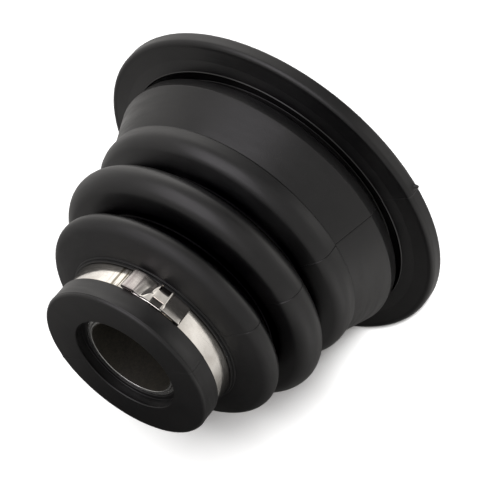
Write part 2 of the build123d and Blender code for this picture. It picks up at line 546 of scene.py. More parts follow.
@dataclass(frozen=True)
class RubberFinish:
    """Moulded black rubber: satin, finely grained, with a little dust and bloom, and painted shade in its
    deep roots.
    """

    name: str = "moulded_black_rubber"
    deep: Colour = (0.0022, 0.0022, 0.0026, 1.0)
    bloom: Colour = (0.0048, 0.0046, 0.0048, 1.0)
    bloom_scale: float = 55.0
    bloom_span: Span = (0.35, 0.68)
    dust: Colour = (0.075, 0.073, 0.068, 1.0)
    dust_scale: float = 420.0
    dust_span: Span = (0.4, 0.65)
    dust_share: float = 0.22
    dust_roughness: float = 0.3
    pit_span: Span = (0.5, 1.0)
    sheen_span: Span = (0.3, 0.7)
    sheen_roughness: Span = (0.3, 0.41)
    matt_roughness: float = 0.16
    matt_zone: Zone = (60.5, 63.0, 67.0, 69.0)  # heights in millimetres
    grain_scale: float = 2600.0
    grain_depth: float = 0.012
    coarse_grain: float = 2.2
    cone_zone: Zone = (13.0, 15.0, 24.0, 26.0)
    gloss: float = 0.5
    root_shade_strength: float = 0.46
    # Painted shade: the rubber loses most of its gloss in the two deep roots, so that they read dark
    deep_roots: tuple[tuple[Zone, Span], ...] = (  # heights and radii
        ((33.0, 35.0, 39.5, 41.5), (38.3, 40.3)),
        ((48.5, 50.5, 55.5, 57.5), (34.9, 36.9)),
    )

    def build(self) -> Material:
        """Make the material.

        Returns:
            The rubber.
        """
        material, desk, shader, where = new_material(self.name)
        grain = Effects.place(desk, Effect.GRAIN, where, Scale=self.grain_scale)
        patches = Effects.place(desk, Effect.PATCHES, where, Scale=self.bloom_scale)
        dust = Effects.place(desk, Effect.PATCHES, where, Scale=self.dust_scale)
        radius, height = desk.radius_and_height(where)
        specks = desk.between(grain.outputs["Pits"], self.pit_span, 0.0, self.dust_share)
        dusty = desk.sum("MULTIPLY", specks, desk.between(dust.outputs["Mask"], self.dust_span))
        colour = desk.tint(desk.between(patches.outputs["Mask"], self.bloom_span), self.deep, self.bloom)
        desk.feed(shader.inputs["Base Color"], desk.tint(dusty, colour, self.dust))
        rough = desk.between(patches.outputs["Streaks"], self.sheen_span, *self.sheen_roughness)
        rough = desk.sum("MULTIPLY_ADD", desk.mask(height, self.matt_zone), self.matt_roughness, rough)
        desk.feed(shader.inputs["Roughness"], desk.sum("MULTIPLY_ADD", dusty, self.dust_roughness, rough))
        gloss: Socket | float = self.gloss
        # Painted shade in the deep roots: less gloss there, so that they read dark
        for heights, radii in self.deep_roots:
            deep = desk.sum("MULTIPLY", desk.mask(height, heights), desk.between(radius, radii, 1.0, 0.0))
            gloss = desk.sum("SUBTRACT", gloss, desk.sum("MULTIPLY", deep, self.root_shade_strength))
        desk.feed(shader.inputs["Specular IOR Level"], gloss)
        depth = desk.sum("MULTIPLY_ADD", desk.mask(height, self.cone_zone), self.coarse_grain, 1.0)
        add_bump(desk, shader, desk.sum("MULTIPLY", grain.outputs["Height"], depth), self.grain_depth)
        return material


@dataclass(frozen=True)
class StripFinish:
    """Bright rolled strip, worn, scuffed on its folded end, with painted reflection and shadow of that end
    past it and painted shade under its bridge.
    """

    name: str = "bright_stainless_strip"
    bright: Colour = (0.9, 0.87, 0.82, 1.0)
    worn: Colour = (0.64, 0.60, 0.55, 1.0)
    wear_scale: float = 180.0
    wear_span: Span = (0.45, 0.7)
    wear_share: float = 0.5
    scuffed: Colour = (0.40, 0.36, 0.355, 1.0)
    scuff_span: Span = (0.35, 0.65)
    least_scuff: float = 0.55
    scuff_roughness: float = 0.14
    end_sector: Zone = (51.0, 57.0, 65.1, 65.5)  # azimuths in degrees
    # Painted reflection and shadow of the folded end: dark streaks on the band just past the fold
    fold_reflection_shade: Colour = (0.13, 0.105, 0.055, 1.0)
    fold_reflection_span: Span = (0.44, 0.58)
    fold_reflection_share: float = 0.9
    fold_reflection_sector: Zone = (66.0, 68.0, 72.0, 80.0)
    # Painted shade under the bridge, on the tongue seen through its windows
    bridge_shade: Colour = (0.06, 0.058, 0.056, 1.0)
    bridge_shade_share: float = 0.92
    bridge_shade_sector: Zone = (38.9, 39.1, 45.9, 46.1)
    above_rail: Span = (28.45, 28.6)  # radii in millimetres
    below_bridge: Span = (28.95, 29.15)
    before_strap: Span = (73.0, 73.1)  # heights in millimetres
    roughness: Span = (0.07, 0.17)
    rough_span: Span = (0.35, 0.7)
    scratch_roughness: float = 0.12
    line_pitch: float = 7000.0
    line_length: float = 3.0
    line_depth: float = 0.0006
    strip_radius: float = 28.2
    streak_scale: float = 900.0
    streak_stretch: float = 0.06
    streak_noise: Span = (3.0, 0.65)

    def build(self) -> Material:
        """Make the material.

        Returns:
            The strip's steel.
        """
        material, desk, shader, where = new_material(self.name)
        lines = Effects.place(desk, Effect.TURNING, where, Pitch=self.line_pitch, Length=self.line_length)
        patches = Effects.place(desk, Effect.PATCHES, where, Scale=self.wear_scale)
        radius, height = desk.radius_and_height(where)
        azimuth = desk.azimuth(where)
        course = {
            "X": desk.sum("MULTIPLY", azimuth, math.radians(self.strip_radius * MM)),
            "Z": desk.sum("MULTIPLY", height, self.streak_stretch * MM),
        }
        along = desk.node("ShaderNodeCombineXYZ", course).outputs["Vector"]
        streaks = desk.noise(along, self.streak_scale, self.streak_noise)
        end = desk.mask(azimuth, self.end_sector)
        dull = desk.sum("MULTIPLY", end, desk.between(streaks, self.scuff_span, self.least_scuff))
        # Painted reflection and shadow of the folded end, in streaks on the band past the fold
        fold_reflected = desk.sum("MULTIPLY", desk.mask(azimuth, self.fold_reflection_sector), self.fold_reflection_share)
        fold_reflected = desk.sum("MULTIPLY", fold_reflected, desk.between(streaks, self.fold_reflection_span))
        # Painted shade under the bridge: darker on the tongue in the windows' sector, below the bridge and in
        # front of the strap
        below = desk.between(radius, self.below_bridge, 1.0, 0.0)
        under = desk.sum("MAXIMUM", desk.between(height, self.before_strap), below)
        under = desk.sum("MULTIPLY", under, desk.between(radius, self.above_rail, 0.0, self.bridge_shade_share))
        bridge_shaded = desk.sum("MULTIPLY", under, desk.mask(azimuth, self.bridge_shade_sector))
        share = desk.between(patches.outputs["Mask"], self.wear_span, 0.0, self.wear_share)
        colour: Socket | Colour = self.bright
        # Wear and scuffs, then the painted reflection and shadow past the fold, then the painted shade under
        # the bridge
        marks = ((share, self.worn), (dull, self.scuffed), (fold_reflected, self.fold_reflection_shade), (bridge_shaded, self.bridge_shade))
        for marked, tone in marks:
            colour = desk.tint(marked, colour, tone)
        desk.feed(shader.inputs["Base Color"], colour)
        rough = desk.between(patches.outputs["Streaks"], self.rough_span, *self.roughness)
        rough = desk.sum("MULTIPLY_ADD", lines.outputs["Scratches"], self.scratch_roughness, rough)
        desk.feed(shader.inputs["Roughness"], desk.sum("MULTIPLY_ADD", end, self.scuff_roughness, rough))
        set_plain(shader, Metallic=1.0)
        add_bump(desk, shader, lines.outputs["Lines"], self.line_depth)
        return material


@dataclass(frozen=True)
class TurnedSteelFinish:
    """Turned steel with its tool lines."""

    name: str = "turned_steel"
    bright: Colour = (0.74, 0.74, 0.73, 1.0)
    dull: Colour = (0.45, 0.45, 0.44, 1.0)
    dull_scale: float = 240.0
    dull_span: Span = (0.4, 0.7)
    dull_share: float = 0.6
    roughness: Span = (0.14, 0.32)
    rough_span: Span = (0.3, 0.7)
    line_pitch: float = 5200.0
    line_length: float = 1.6
    line_depth: float = 0.004

    def build(self) -> Material:
        """Make the material.

        Returns:
            The steel of the sleeve and the bush.
        """
        material, desk, shader, where = new_material(self.name)
        lines = Effects.place(desk, Effect.TURNING, where, Pitch=self.line_pitch, Length=self.line_length)
        patches = Effects.place(desk, Effect.PATCHES, where, Scale=self.dull_scale)
        share = desk.between(patches.outputs["Mask"], self.dull_span, 0.0, self.dull_share)
        desk.feed(shader.inputs["Base Color"], desk.tint(share, self.bright, self.dull))
        rough = desk.between(lines.outputs["Lines"], self.rough_span, *self.roughness)
        desk.feed(shader.inputs["Roughness"], rough)
        set_plain(shader, Metallic=1.0)
        add_bump(desk, shader, lines.outputs["Lines"], self.line_depth)
        return material


@dataclass(frozen=True)
class LiningFinish:
    """Matt olive sliding lining with a fine sintered grain."""

    name: str = "olive_sliding_lining"
    dark: Colour = (0.0075, 0.0065, 0.0042, 1.0)
    light: Colour = (0.022, 0.019, 0.012, 1.0)
    light_span: Span = (0.4, 0.62)
    roughness: Span = (0.6, 0.8)
    rough_scale: float = 160.0
    rough_span: Span = (0.3, 0.7)
    grain_scale: float = 3400.0
    grain_depth: float = 0.03

    def build(self) -> Material:
        """Make the material.

        Returns:
            The lining.
        """
        material, desk, shader, where = new_material(self.name)
        grain = Effects.place(desk, Effect.GRAIN, where, Scale=self.grain_scale)
        patches = Effects.place(desk, Effect.PATCHES, where, Scale=self.rough_scale)
        share = desk.between(grain.outputs["Height"], self.light_span)
        desk.feed(shader.inputs["Base Color"], desk.tint(share, self.dark, self.light))
        rough = desk.between(patches.outputs["Mask"], self.rough_span, *self.roughness)
        desk.feed(shader.inputs["Roughness"], rough)
        add_bump(desk, shader, grain.outputs["Height"], self.grain_depth)
        return material


@dataclass(frozen=True)
class FloorFinish:
    """Plain pale floor with a faint mottle, clear from below."""

    name: str = "pale_floor"
    tone: Colour = (0.36, 0.36, 0.36, 1.0)
    mottle: Colour = (0.39, 0.39, 0.39, 1.0)
    mottle_scale: float = 3.0
    mottle_noise: Span = (2.0, 0.5)
    mottle_span: Span = (0.3, 0.7)
    mottle_share: float = 0.06
    roughness: float = 0.9
    gloss: float = 0.1

    def build(self) -> Material:
        """Make the material.

        Returns:
            The floor.
        """
        material, desk, shader, where = new_material(self.name)
        mottle = desk.noise(where, self.mottle_scale, self.mottle_noise)
        share = desk.between(mottle, self.mottle_span, 0.0, self.mottle_share)
        desk.feed(shader.inputs["Base Color"], desk.tint(share, self.tone, self.mottle))
        set_plain(shader, Roughness=self.roughness, Specular_IOR_Level=self.gloss)
        behind = desk.node("ShaderNodeNewGeometry").outputs["Backfacing"]
        clear = desk.node("ShaderNodeBsdfTransparent").outputs[0]
        mixed = desk.node("ShaderNodeMixShader", {0: behind, 1: shader.outputs[0], 2: clear})
        desk.feed(material.node_tree.nodes["Material Output"].inputs["Surface"], mixed.outputs[0])
        return material


@dataclass(frozen=True)
class GroundShadeFinish:
    """Painted shade: a black sheet that stands in for the shaded ground beside the object and fades out
    towards its edges. Lengths in metres.
    """

    name: str = "ground_shade_sheet"
    black: Colour = (0.01, 0.01, 0.01, 1.0)
    length: float = 0.03
    fade: Span = (0.012, 0.095)
    cover: float = 0.85

    def build(self) -> Material:
        """Make the material.

        Returns:
            The black sheet of painted ground shade.
        """
        material, desk, shader, where = new_material(self.name)
        set_plain(shader, Base_Color=self.black, Roughness=1.0, Specular_IOR_Level=0.0)
        along, across, _ = desk.parts(where)
        past_end = desk.sum("SUBTRACT", desk.sum("ABSOLUTE", along), self.length)
        away = desk.length(desk.sum("MAXIMUM", past_end, 0.0), across)
        desk.feed(shader.inputs["Alpha"], desk.between(away, self.fade, self.cover, 0.0))
        return material


# ---- Bellows boot ----


@dataclass(frozen=True)
class Nub:
    """A nub that the mould leaves beside its joint, in millimetres. The side is 1 for +X, -1 for -X."""

    side: int
    tall: float
    beside: float
    height: float
    reach: float

    def rise(self, point: Vector, side: float) -> float:
        """Rise of the surface at a point on a side."""
        near = hill(point.y - self.beside, self.reach) * hill(point.z - self.height, self.reach)
        return self.tall * near if side == self.side else 0.0


@dataclass
class BellowsBoot:
    """The one rubber moulding, from its rim to its collar. Sizes in millimetres and degrees."""

    mouth_radius: float = 43.0
    groove_radius: float = 46.0
    groove_bottom: float = 5.8
    groove_top: float = 9.15
    groove_round: float = 0.3
    mouth_round: float = 1.0
    lip_inner_radius: float = 49.6
    ridge_radius: float = 53.5
    ridge_height: float = 5.35
    dish_radius: float = 55.4
    dish_height: float = 5.05
    lip_top: float = 6.3
    lip_edge_drop: float = 0.5
    lip_flash: float = 0.14
    rim_rows: tuple[float, ...] = (1.0, 1.3, 1.6, 1.9, 2.2, 2.6)
    lip_edge_round: float = 0.15
    dish_round: float = 3.0
    ridge_round: float = 1.2
    rim_land: float = 57.9
    rim_radius: float = 60.0
    rim_thickness: float = 4.7
    rim_base_round: float = 0.8
    rim_face_round: float = 1.4

    wall: float = 2.5
    least_round: float = 0.6
    shoulder_foot: Bend = Bend(49.75, 10.0, 0.85)
    shoulder: Bend = Bend(50.2, 13.1, 0.9)
    shoulder_inner_round: float = 1.0
    crease_root: Bend = Bend(45.15, 25.9, 0.2, crest=False)
    crease_edge: Bend = Bend(45.65, 26.6, 0.5)
    convolutions: tuple[Bend, ...] = (
        Bend(45.8, 29.45, 5.4),
        Bend(37.2, 37.6, 0.6, crest=False),
        Bend(45.5, 46.1, 5.7),
        Bend(33.4, 53.3, 0.6, crest=False),
        Bend(40.1, 60.85, 3.9),
    )
    foot: Bend = Bend(30.0, 66.65, 0.0, crest=False)

    lower_bead_radius: float = 29.3
    lower_bead_lift: float = 0.02
    bead_radius: float = 28.8
    bead_round: float = 0.08
    bead_groove_radius: float = 28.65
    bead_groove_height: float = 67.22
    bead_groove_half: float = 0.1
    bead_groove_round: float = 0.05
    seat_radius: float = 27.6
    seat_bottom: float = 67.95
    seat_top: float = 75.15
    collar_radius: float = 28.95
    collar_back_round: float = 0.4
    collar_round: float = 0.9
    collar_top: float = 82.35
    collar_flash: float = 0.1
    collar_flash_width: float = 0.16
    recess_radius: float = 17.8
    recess_edge_round: float = 0.4
    recess_floor: float = 79.05
    sleeve_radius: float = 16.3
    hub_radius: float = 26.0
    hub_bottom: float = 59.05
    hub_round: float = 1.5
    fine_round: float = 0.16

    parting_sector: float = 6.0
    parting_steps: int = 42
    plain_steps: int = 52
    mould_shift: float = 0.16
    shift_reach: float = 12.0
    parting_ridge: float = 0.1
    parting_groove: float = 0.26
    parting_reach: float = 0.17
    nubs: tuple[Nub, ...] = (Nub(1, 1.6, 1.5, 1.1, 0.75), Nub(-1, 0.7, 0.6, 81.3, 0.55))

    def build(self, finish: Material) -> Piece:
        """Turn the moulding and add the marks of its mould.

        Args:
            finish: the rubber's material.

        Returns:
            The boot's object.
        """
        mesh = bmesh.new()
        self.draw_wall(mesh)
        self.draw_large_end(mesh)
        bmesh.ops.remove_doubles(mesh, verts=mesh.verts, dist=TOUCH)
        turned = Matrix.Rotation(math.radians(self.parting_sector / 2), 3, "Z")
        bmesh.ops.rotate(mesh, cent=ORIGIN, matrix=turned, verts=mesh.verts)
        plain = (FULL_TURN / 2 - self.parting_sector, self.plain_steps)
        parting = (self.parting_sector, self.parting_steps)
        turn_sections(mesh, [plain, parting] * 2)
        self.mark_parting(mesh)
        return finish_piece("rubber_bellows", mesh, finish, "bellows_boot")

    def draw_wall(self, mesh: Mesh) -> None:
        """Draw both faces of the bellows wall and the small end.

        Args:
            mesh: the bmesh that gets the section.
        """
        pen = section_pen(mesh)
        bends = [self.shoulder_foot, self.shoulder, self.crease_root, self.crease_edge]
        foot = pen.wall([*bends, *self.convolutions, self.foot])
        shoulder_x = self.shoulder.radius - self.wall
        inner_height = self.groove_top + self.wall + self.shoulder_inner_round
        inner_bends = [Bend(shoulder_x, inner_height, self.shoulder_inner_round)]
        inner_bends += [b.inside(self.wall, self.least_round) for b in [self.crease_root, *self.convolutions]]
        inner_bends += [Bend(self.foot.radius - self.wall, self.foot.height, self.wall, crest=False)]
        inner_foot = pen.wall(inner_bends)
        fine = self.fine_round
        flash_height = self.collar_top - self.collar_round - self.collar_flash_width
        pen.outline(
            [
                Corner(*foot),
                Corner(self.lower_bead_radius, foot[1] + self.lower_bead_lift, fine),
                Corner(self.lower_bead_radius, self.bead_groove_height - self.bead_groove_half, fine),
                Corner(self.bead_groove_radius, self.bead_groove_height, self.bead_groove_round),
                Corner(self.bead_radius, self.bead_groove_height + self.bead_groove_half, self.bead_round),
                Corner(self.bead_radius, self.seat_bottom, fine),
                Corner(self.seat_radius, self.seat_bottom),
                Corner(self.seat_radius, self.seat_top),
                Corner(self.collar_radius, self.seat_top, self.collar_back_round),
                Corner(self.collar_radius, flash_height - self.collar_flash_width),
                Corner(self.collar_radius + self.collar_flash, flash_height),
                Corner(self.collar_radius, flash_height + self.collar_flash_width),
                Corner(self.collar_radius, self.collar_top, self.collar_round),
                Corner(self.recess_radius, self.collar_top, self.recess_edge_round),
                Corner(self.recess_radius, self.recess_floor, fine),
                Corner(self.sleeve_radius, self.recess_floor, fine),
                Corner(self.sleeve_radius, self.hub_bottom, fine),
                Corner(self.hub_radius, self.hub_bottom, self.hub_round),
                Corner(self.hub_radius, inner_foot[1], self.hub_round),
                Corner(*inner_foot),
            ]
        )

    def draw_large_end(self, mesh: Mesh) -> None:
        """Draw the rim, its lip and the panel groove.

        Args:
            mesh: the bmesh that gets the section.
        """
        inner_height = self.groove_top + self.wall
        inner_x = self.shoulder.radius - self.wall - self.shoulder_inner_round
        flash_top = self.lip_top + 2 * self.lip_flash
        section_pen(mesh).outline(
            [
                Corner(inner_x, inner_height),
                Corner(self.mouth_radius, inner_height, self.mouth_round),
                Corner(self.mouth_radius, 0.0, self.mouth_round),
                Corner(self.rim_radius, 0.0, self.rim_base_round),
                *[Corner(self.rim_radius, height) for height in self.rim_rows],
                Corner(self.rim_radius, self.rim_thickness, self.rim_face_round),
                Corner(self.rim_land, self.rim_thickness, self.ridge_round),
                Corner(self.dish_radius, self.dish_height, self.dish_round),
                Corner(self.ridge_radius, self.ridge_height, self.ridge_round),
                Corner(self.lip_inner_radius + 2 * self.lip_flash, self.lip_top),
                Corner(self.lip_inner_radius + self.lip_flash, flash_top),
                Corner(self.lip_inner_radius, flash_top),
                Corner(self.lip_inner_radius - self.lip_edge_drop, self.groove_bottom, self.lip_edge_round),
                Corner(self.groove_radius, self.groove_bottom, self.groove_round),
                Corner(self.groove_radius, self.groove_top, self.groove_round),
                Corner(self.shoulder_foot.centre[0], self.groove_top),
            ]
        )

    def mark_parting(self, mesh: Mesh) -> None:
        """Shift one half of the mould a little, and leave its joint's line and nubs.

        Args:
            mesh: the boot's bmesh, which is changed.
        """
        mesh.normal_update()
        moves = {}
        for vert in mesh.verts:
            point, normal = vert.co, vert.normal
            outer = normal.x * point.x + normal.y * point.y > 0 or radius_of(point) > self.groove_radius
            if not outer or point.z < self.rim_base_round:
                continue
            side = math.copysign(1.0, point.x)
            shift = self.mould_shift if side * point.y > TOUCH else 0.0
            on_bellows = self.shoulder.height < point.z < self.foot.height
            line = -self.parting_groove if on_bellows else self.parting_ridge
            rise = line * hill(point.y, self.parting_reach) + sum(nub.rise(point, side) for nub in self.nubs)
            across = Vector((side * shift * hill(point.y, self.shift_reach), 0, 0))
            moves[vert] = normal * rise + across
        for vert, move in moves.items():
            vert.co += move


# ---- Band clamp ----


@dataclass
class BandClamp:
    """One strip of stainless steel round the small end, with its closure bent from the same strip."""

    seat_radius: float = 27.6
    strip_thickness: float = 0.6
    edge_round: float = 0.09
    edge_segments: int = 2
    band_width: float = 7.0
    band_top: float = 75.15
    band_arc_step: float = 2.0
    lap_play: float = 0.03
    joggle_azimuth: float = 26.0
    joggle_sweep: float = 1.5
    joggle_slant: float = 0.1
    joggle_round: float = 0.3
    plate_sweep: float = 11.6
    plate_tilt: float = 1.3
    tongue_reach: float = 0.4

    bridge_sweep: float = 14.0
    bridge_rise: float = 1.25
    bridge_lap: float = 0.2
    bridge_foot_lead: float = 0.6
    bridge_foot_round: float = 0.3
    bridge_end_round: float = 0.9
    window_start: float = 39.0
    window_end: float = 46.0
    strap_bottom: float = 70.3
    strap_top: float = 72.9
    rows: tuple[int, int, int] = (4, 5, 4)
    dome_back: float = 2.2
    dome_slant: float = 0.58
    dome_fade: float = 3.0
    dome_level: float = 73.35
    dimple: tuple[float, float, float, float] = (48.6, 71.5, 1.5, 0.3)  # azimuth, height, reach, depth
    trough: tuple[float, float, float] = (53.3, 3.0, 1.5)  # azimuth, reach, tilt
    trough_lift: float = 0.05
    trough_lead: float = 0.6

    hem_start: float = 57.0
    hem_lead: float = 1.0
    hem_sweep: float = 13.4
    hem_gap: float = 0.5
    hem_lift: float = 0.25
    hem_tilt: float = 0.35
    fold_round: float = 0.5
    free_end: float = 58.4

    rail_slope: float = 36.0
    rail_foot: Point = (27.98, 74.95)  # radius and height
    rail_widths: tuple[float, float, float] = (0.75, 0.5, 0.9)
    rail_overlap: float = 2.0
    rail_gap: float = 0.4
    rail_setback: float = 0.3

    bend_arc_step: float = 15.0
    longest_run: float = 1.2
    run_cuts: int = 5

    @property
    def band_line(self) -> float:
        """Radius of the middle of the lower layer."""
        return self.seat_radius + self.strip_thickness / 2

    @property
    def lap_line(self) -> float:
        """Radius of the middle of the upper layer where it lies on the lower one."""
        return self.band_line + self.strip_thickness + self.lap_play

    @property
    def band_bottom(self) -> float:
        """Height of the strip's edge on the bellows' side."""
        return self.band_top - self.band_width

    @property
    def bridge_start(self) -> float:
        """Azimuth where the plate ends and the bridge begins."""
        return self.joggle_azimuth + self.plate_sweep

    @property
    def bridge_end(self) -> float:
        """Azimuth where the bridge ends in the trough before the folded end."""
        return self.bridge_start + self.bridge_sweep

    @property
    def fold_azimuth(self) -> float:
        """Azimuth of the fold at the strip's end."""
        return self.bridge_end + self.hem_sweep

    def build(self, finish: Material) -> Piece:
        """Bend the strip and dress it.

        Args:
            finish: the strip's material.

        Returns:
            The clamp's object.
        """
        mesh = bmesh.new()
        self.draw_band(mesh)
        self.tilt_plate(self.widen(mesh, mesh.edges))
        band = set(mesh.edges)
        self.draw_bridge(mesh)
        self.form_bridge(self.widen(mesh, [e for e in mesh.edges if e not in band]))
        self.cut_windows(mesh, band)
        self.add_rails(mesh)
        bmesh.ops.recalc_face_normals(mesh, faces=mesh.faces)
        mesh.normal_update()
        piece = finish_piece("clamp_band", mesh, finish, "band_clamp")
        thicken = piece.modifiers.new("strip thickness", "SOLIDIFY")
        thicken.thickness = self.strip_thickness * MM
        thicken.offset = 0.0
        thicken.use_even_offset = True
        rounds = piece.modifiers.new("rolled edges", "BEVEL")
        rounds.width = self.edge_round * MM
        rounds.segments = self.edge_segments
        rounds.limit_method = "ANGLE"
        rounds.angle_limit = HARD_EDGE
        return piece

    def draw_line(self, mesh: Mesh, course: Sequence[tuple[float, float, float]]) -> None:
        """Draw a chain of runs and bends in plan.

        Args:
            mesh: the bmesh that gets the line.
            course: radius, azimuth and bend of each corner.
        """
        known = set(mesh.edges)
        pen = plan_pen(mesh, self.bend_arc_step)
        pen.outline([Corner(*polar(radius, azimuth), bend) for radius, azimuth, bend in course])
        long_runs = [e for e in mesh.edges if e not in known and e.calc_length() > self.longest_run]
        bmesh.ops.subdivide_edges(mesh, edges=long_runs, cuts=self.run_cuts)

    def draw_arc(self, mesh: Mesh, radius: float, start: float, end: float) -> None:
        """Draw an arc about the axis in plan.

        Args:
            mesh: the bmesh that gets the arc.
            radius: the arc's radius.
            start: azimuth where it starts.
            end: azimuth where it ends.
        """
        pen = plan_pen(mesh, self.band_arc_step)
        pen.start(polar(radius, start))
        pen.arc(ORIGIN[:2], math.radians(end - start))

    def draw_band(self, mesh: Mesh) -> None:
        """Draw the middle line of the band, its step up, the plate and the tongue under the bridge.

        Args:
            mesh: the bmesh that gets the line.
        """
        foot = self.joggle_azimuth - self.joggle_sweep
        step = self.joggle_azimuth - self.joggle_sweep / 3
        self.draw_arc(mesh, self.band_line, self.joggle_azimuth + self.joggle_sweep, FULL_TURN + foot)
        self.draw_line(
            mesh,
            [
                (self.band_line, foot, 0.0),
                (self.band_line, step - self.joggle_slant, self.joggle_round),
                (self.lap_line, step, self.joggle_round),
                (self.lap_line, self.bridge_start, 0.0),
                (self.lap_line, self.window_end + self.tongue_reach, 0.0),
            ],
        )
        bmesh.ops.remove_doubles(mesh, verts=mesh.verts, dist=TOUCH)

    def draw_bridge(self, mesh: Mesh) -> None:
        """Draw the middle line of the bridge, the trough and the end folded under itself.

        Args:
            mesh: the bmesh that gets the line.
        """
        bridge_line = self.lap_line + self.bridge_rise
        hem_line = self.lap_line + self.hem_lift
        hem_top_line = hem_line + self.strip_thickness + self.hem_gap
        self.draw_line(
            mesh,
            [
                (self.lap_line, self.bridge_start - self.bridge_lap, 0.0),
                (bridge_line, self.window_start - self.bridge_foot_lead, self.bridge_foot_round),
                (bridge_line, self.window_start, 0.0),
                (bridge_line, self.window_end, 0.0),
                (bridge_line, self.bridge_end - self.dome_back, self.bridge_end_round),
                (self.lap_line + self.trough_lift, self.bridge_end + self.trough_lead, self.bridge_end_round),
                (hem_top_line, self.hem_start, self.bridge_end_round),
                (hem_top_line, self.fold_azimuth, self.fold_round),
                (hem_line, self.fold_azimuth, self.fold_round),
                (hem_line, self.free_end, 0.0),
            ],
        )

    def widen(self, mesh: Mesh, line: Iterable[Edge]) -> list[Vert]:
        """Pull a line up into a strip, with rows along the edges of the strap.

        Args:
            mesh: the bmesh that holds the line.
            line: the line's edges.

        Returns:
            All points of the strip.
        """
        edges = list(line)
        verts = list({v for e in edges for v in e.verts})
        bmesh.ops.translate(mesh, vec=(0, 0, self.band_bottom), verts=verts)
        strip = list(verts)
        levels = (self.band_bottom, self.strap_bottom, self.strap_top, self.band_top)
        for low, high, count in zip(levels, levels[1:], self.rows):
            for _ in range(count):
                made = bmesh.ops.extrude_edge_only(mesh, edges=edges)["geom"]
                verts = [g for g in made if isinstance(g, Vert)]
                edges = [g for g in made if isinstance(g, Edge)]
                edges = [e for e in edges if abs(e.verts[0].co.z - e.verts[1].co.z) < TOUCH]
                bmesh.ops.translate(mesh, vec=(0, 0, (high - low) / count), verts=verts)
                strip += verts
        return strip

    def lean(self, height: float, rise: float) -> float:
        """Rise of a leaning surface at a height, none at the strip's edge on the bellows' side."""
        return rise * (height - self.band_bottom) / self.band_width

    def tilt_plate(self, verts: Iterable[Vert]) -> None:
        """Lean the flat plate and the tongue towards the bellows.

        Args:
            verts: the points of the band's strip, which are moved.
        """
        half_step = (self.lap_line - self.band_line) / 2
        for vert in verts:
            radius = radius_of(vert.co)
            gain = share_of((radius - self.band_line) / half_step) * self.lean(vert.co.z, self.plate_tilt)
            vert.co.xy *= (radius + gain) / radius

    def form_bridge(self, verts: Iterable[Vert]) -> None:
        """Set the bridge's foot on the leaning plate, and press its other end into a dimpled dome.

        Args:
            verts: the points of the bridge's strip, which are moved.
        """
        at, height, reach, depth = self.dimple
        trough_at, trough_reach, trough_tilt = self.trough
        for vert in verts:
            radius = radius_of(vert.co)
            azimuth = azimuth_of(vert.co)
            gain = 0.0
            if azimuth < self.window_start:
                low = 1.0 - (radius - self.lap_line) / self.bridge_rise
                gain = low * self.lean(vert.co.z, self.plate_tilt)
            elif azimuth > self.window_end:
                share = hill(azimuth - trough_at, trough_reach)
                gain = share * self.lean(vert.co.z - self.band_width / 2, trough_tilt)
                if azimuth > self.hem_start - self.hem_lead:
                    gain += (1.0 - share) * self.lean(vert.co.z, self.hem_tilt)
            along = math.radians(azimuth - at) * radius
            gain -= depth * hill(along, reach) * hill(vert.co.z - height, reach)
            vert.co.xy *= (radius + gain) / radius
            slanted = share_of((azimuth - self.window_end) / self.dome_fade)
            slanted *= share_of((self.hem_start - azimuth) / self.dome_fade)
            turn = math.radians(self.dome_slant * (vert.co.z - self.dome_level) * slanted)
            vert.co.rotate(Matrix.Rotation(turn, 3, "Z"))

    def cut_windows(self, mesh: Mesh, band: set[Edge]) -> None:
        """Cut the notches on both sides of the bridge, and leave the strap between them.

        Args:
            mesh: the strip's bmesh, which is changed.
            band: edges of the band's own strip, which stay.
        """
        gone = []
        for face in mesh.faces:
            centre = face.calc_center_median()
            beside = self.window_start < azimuth_of(centre) < self.window_end
            off_strap = not self.strap_bottom < centre.z < self.strap_top
            if beside and off_strap and not band.intersection(face.edges):
                gone.append(face)
        bmesh.ops.delete(mesh, geom=gone, context="FACES")

    def add_rails(self, mesh: Mesh) -> None:
        """Turn the strip's front edge down on the band beside the bridge and under the folded end.

        Args:
            mesh: the strip's bmesh, which is changed.
        """
        foot, height = self.rail_foot
        slope = math.radians(self.rail_slope)
        middle = self.window_end + self.rail_overlap
        spans = (
            (self.bridge_start, middle),
            (middle, self.free_end - self.rail_gap),
            (self.free_end, self.fold_azimuth - self.rail_setback),
        )
        for (start, end), width in zip(spans, self.rail_widths):
            known = set(mesh.verts)
            self.draw_arc(mesh, foot, start, end)
            line = [v for v in mesh.verts if v not in known]
            bmesh.ops.translate(mesh, vec=(0, 0, height), verts=line)
            edges = list({e for v in line for e in v.link_edges})
            made = bmesh.ops.extrude_edge_only(mesh, edges=edges)["geom"]
            raised = [g for g in made if isinstance(g, Vert)]
            crown = 1 + width * math.sin(slope) / foot
            bmesh.ops.scale(mesh, vec=(crown, crown, 1), verts=raised)
            bmesh.ops.translate(mesh, vec=(0, 0, -width * math.cos(slope)), verts=raised)


# ---- Sleeve and lined bush ----


@dataclass(frozen=True)
class Ring:
    """One turned ring: its names, and its radii, its upper end and its corners' round in millimetres."""

    name: str
    node: str
    slot: str
    inner: float
    outer: float
    top: float
    edge: float


